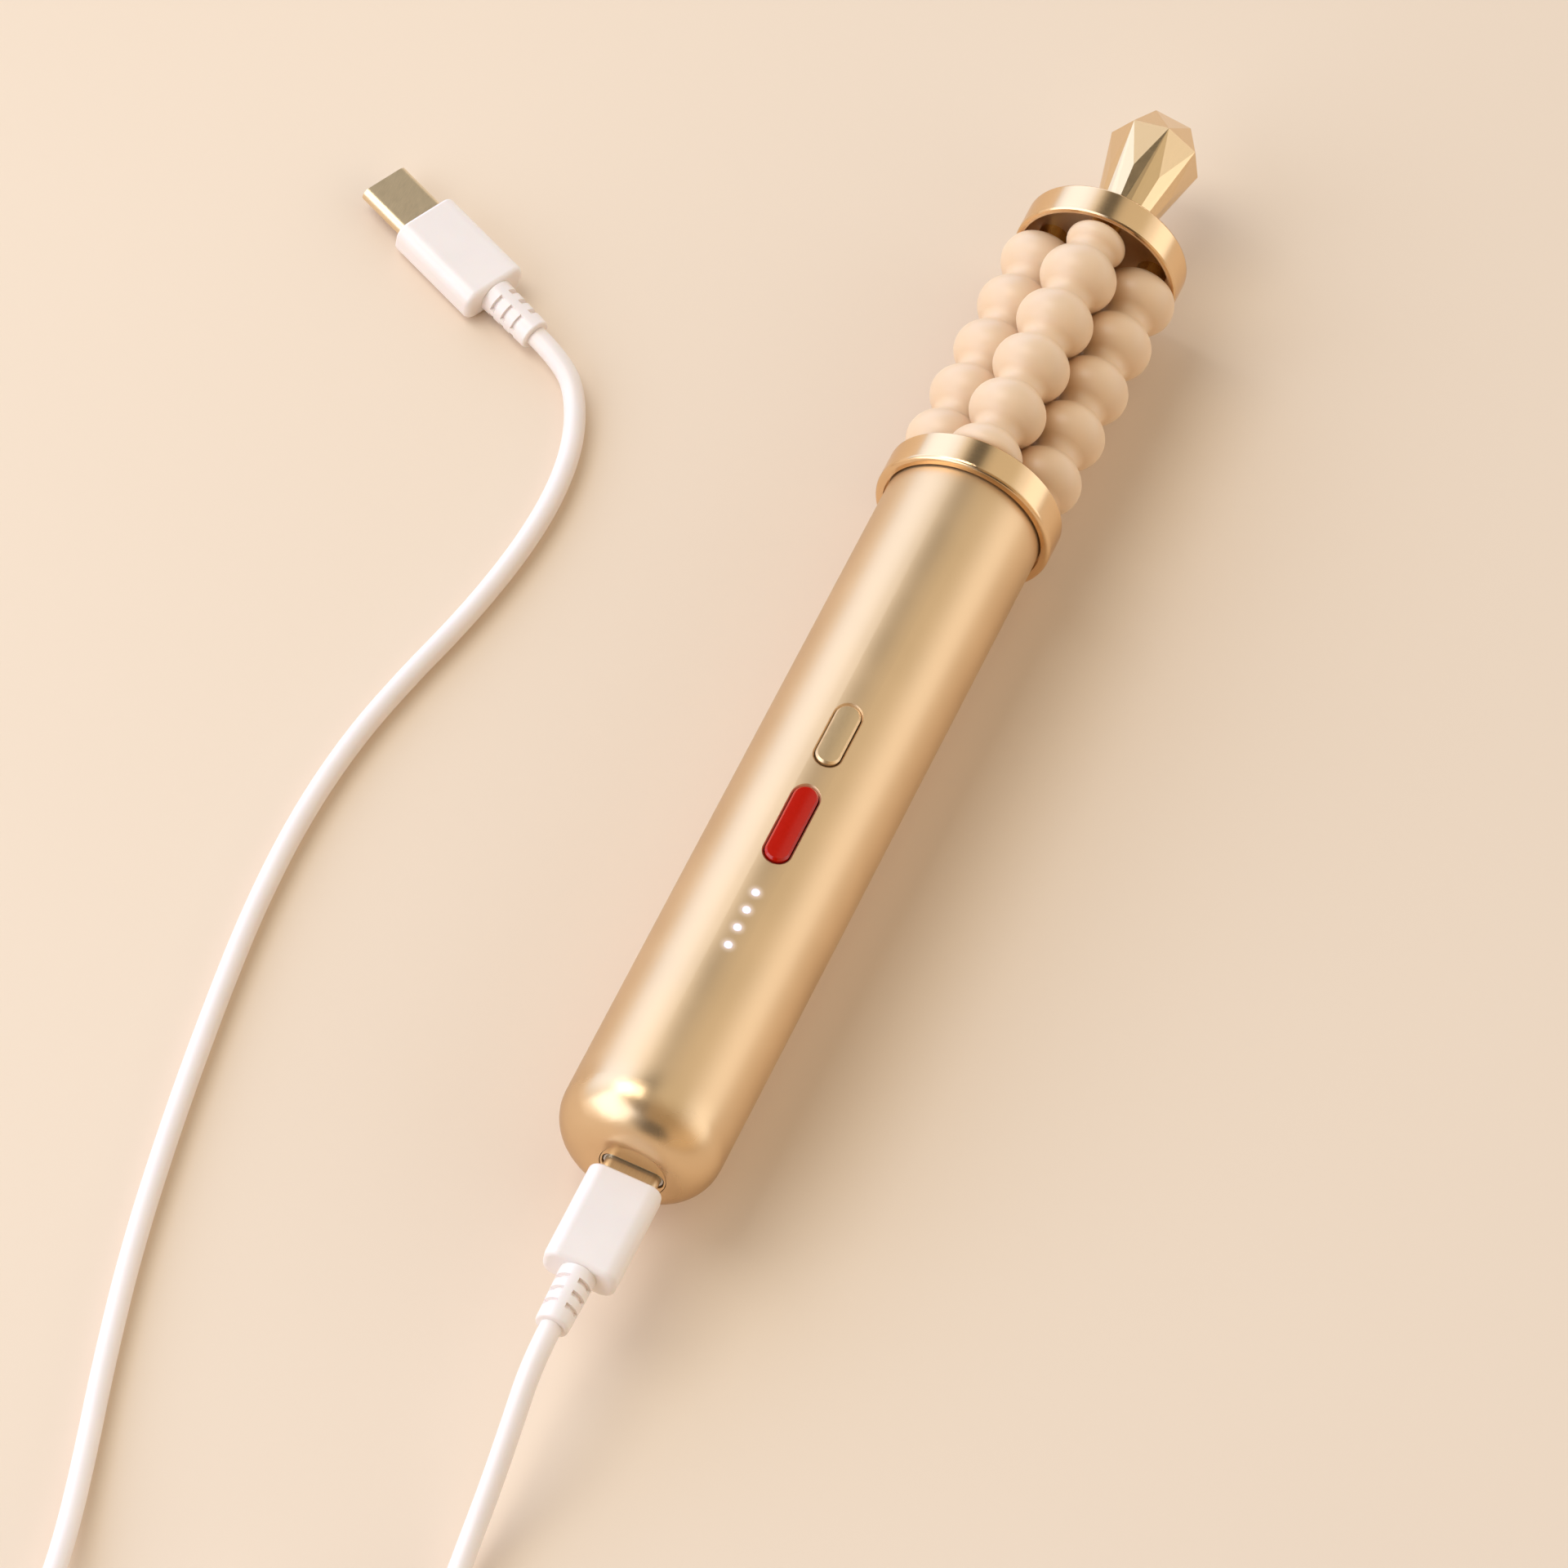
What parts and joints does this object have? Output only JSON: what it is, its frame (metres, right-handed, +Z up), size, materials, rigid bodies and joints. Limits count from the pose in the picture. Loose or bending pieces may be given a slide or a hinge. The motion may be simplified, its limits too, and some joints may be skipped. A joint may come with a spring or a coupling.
{
  "type": "facial massager",
  "caption": "Slim rechargeable facial massager: round metal handle with a turning head of beaded rollers between two rings, a faceted tip and a plugged-in charging lead.",
  "frame": {"origin": "under the middle of the massager's length, on the surface that it lies on, without its lead", "axes": "+Y along the massager's axis from the round end to the tip, +Z up through the two buttons"},
  "size_m": [0.1162, 0.3436, 0.0272],
  "materials": {
    "handle_gold": "satin anodised champagne gold",
    "ring_gold": "turned and polished gold",
    "tip_gold": "polished gold facets",
    "bezel_gold": "gold coloured moulded insert",
    "bead": "satin nude beige",
    "power_red": "glossy red",
    "mode_gold": "gold plated",
    "light": "clear light guide",
    "steel": "bright",
    "motor_steel": "zinc plated",
    "brass": "turned",
    "copper_wire": "insulated wire",
    "board_green": "solder mask",
    "chip_black": "moulded packages",
    "cell_blue": "wrapped cell",
    "frame_white": "moulded",
    "pad_grey": "foam",
    "felt": "felt",
    "tongue_black": "moulded",
    "plug_white": "soft white",
    "cord_white": "matt white jacket",
    "tie_white": "flat band"
  },
  "bodies": {
    "handle": {"handle_tube": "handle_gold", "port_bezel": "bezel_gold", "usb_receptacle": "steel", "usb_tongue": "tongue_black", "port_board": "board_green", "port_leads": "copper_wire", "inner_frame": "frame_white", "main_board": "board_green", "board_components": "chip_black", "board_screws": "steel", "battery_cell": "cell_blue", "cell_tabs": "steel", "cell_pad": "pad_grey", "indicator_leds": "light", "light_guide": "light", "power_switch": "steel", "mode_switch": "steel", "gear_motor": "motor_steel", "motor_leads": "copper_wire", "gearbox": "brass", "motor_clamp": "steel", "clamp_screws": "steel", "front_bulkhead": "ring_gold", "bulkhead_screws": "steel", "seal_ring": "felt", "bearing_outer_race": "steel", "bearing_balls": "steel"},
    "power_button": {"power_button": "power_red", "power_plunger": "chip_black"},
    "mode_button": {"mode_button": "mode_gold", "mode_plunger": "chip_black"},
    "head": {"output_shaft": "steel", "shaft_coupler": "brass", "coupler_screws": "steel", "bearing_inner_race": "steel", "head_shaft": "steel", "shaft_nut": "steel", "lower_ring": "ring_gold", "upper_ring": "ring_gold", "roller_axles": "steel", "roller_bushes": "brass", "faceted_tip": "tip_gold"},
    "roller_1": {"roller_1": "bead"},
    "roller_2": {"roller_2": "bead"},
    "roller_3": {"roller_3": "bead"},
    "roller_4": {"roller_4": "bead"},
    "lead": {"plug_shell": "steel", "plug_insulator": "tongue_black", "plug_body": "plug_white", "plug_strain_relief": "plug_white", "far_plug_shell": "steel", "far_plug_insulator": "tongue_black", "far_plug_body": "plug_white", "far_plug_strain_relief": "plug_white", "cord_lead": "cord_white", "cord_coil": "cord_white", "coil_ties": "tie_white", "cord_tail": "cord_white"}
  },
  "joints": [
    {"name": "power_press", "type": "slide", "parent": "handle", "child": "power_button", "axis": [0, 0, -1], "range_m": [0, 0.0004], "stiffness_N_per_m": 1500},
    {"name": "mode_press", "type": "slide", "parent": "handle", "child": "mode_button", "axis": [0, 0, -1], "range_m": [0, 0.0004], "stiffness_N_per_m": 1500},
    {"name": "head_spin", "type": "hinge", "parent": "handle", "child": "head", "pos_m": [0, 0.0235, 0.0136], "axis": [0, 1, 0], "continuous": true},
    {"name": "roller_1_spin", "type": "hinge", "parent": "head", "child": "roller_1", "pos_m": [-0.00054, 0.0493, 0.02133], "axis": [0, 1, 0], "continuous": true},
    {"name": "roller_2_spin", "type": "hinge", "parent": "head", "child": "roller_2", "pos_m": [0.00773, 0.0493, 0.01414], "axis": [0, 1, 0], "continuous": true},
    {"name": "roller_3_spin", "type": "hinge", "parent": "head", "child": "roller_3", "pos_m": [0.00054, 0.0493, 0.00587], "axis": [0, 1, 0], "continuous": true},
    {"name": "roller_4_spin", "type": "hinge", "parent": "head", "child": "roller_4", "pos_m": [-0.00773, 0.0493, 0.01306], "axis": [0, 1, 0], "continuous": true},
    {"name": "lead_unplug", "type": "slide", "parent": "handle", "child": "lead", "axis": [0, -1, 0], "range_m": [0, 0.01]}
  ]
}
